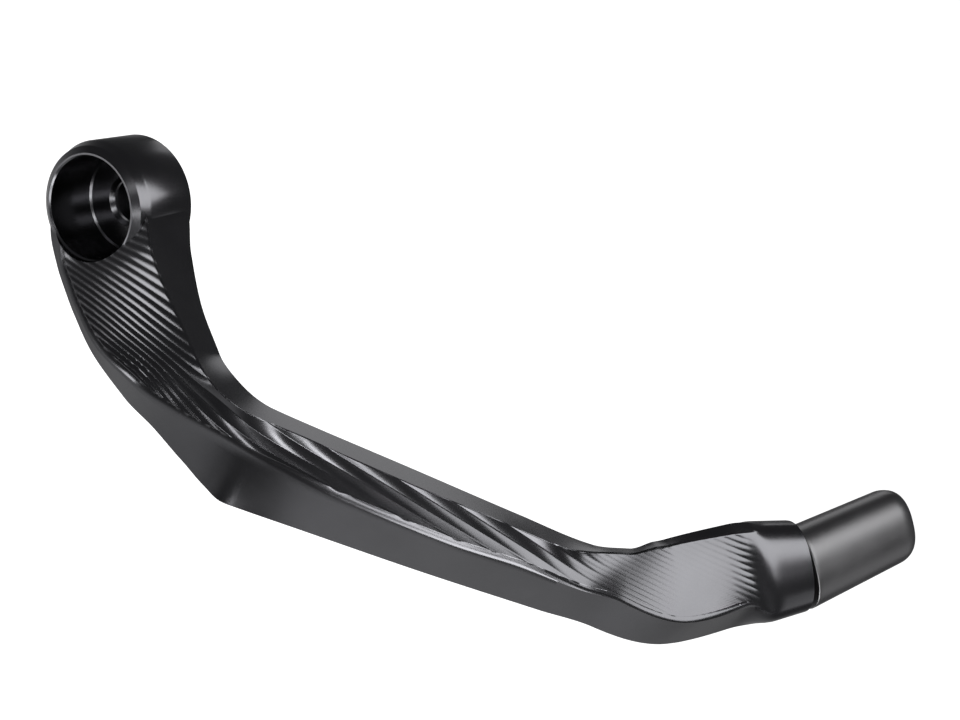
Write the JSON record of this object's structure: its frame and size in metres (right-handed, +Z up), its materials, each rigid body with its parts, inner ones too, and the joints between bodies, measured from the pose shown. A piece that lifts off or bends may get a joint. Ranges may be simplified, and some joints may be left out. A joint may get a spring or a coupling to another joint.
{
  "type": "lever guard",
  "caption": "Milled lever guard for a motorbike: a bored bar-end ring, an arm that sweeps in front of the lever, and a separate end tip.",
  "frame": {"origin": "on the axis of the bar-end counterbore, at its mouth", "axes": "+X out of the counterbore's mouth (outboard), +Y forward along the arm, +Z up"},
  "size_m": [0.1246, 0.1467, 0.0764],
  "materials": {
    "arm": "black anodised, milled with visible tool passes",
    "tip": "black anodised, satin",
    "screw": "plain steel"
  },
  "bodies": {
    "root": {"guard_arm": "arm", "end_tip": "tip", "tip_screw": "screw"}
  },
  "joints": []
}
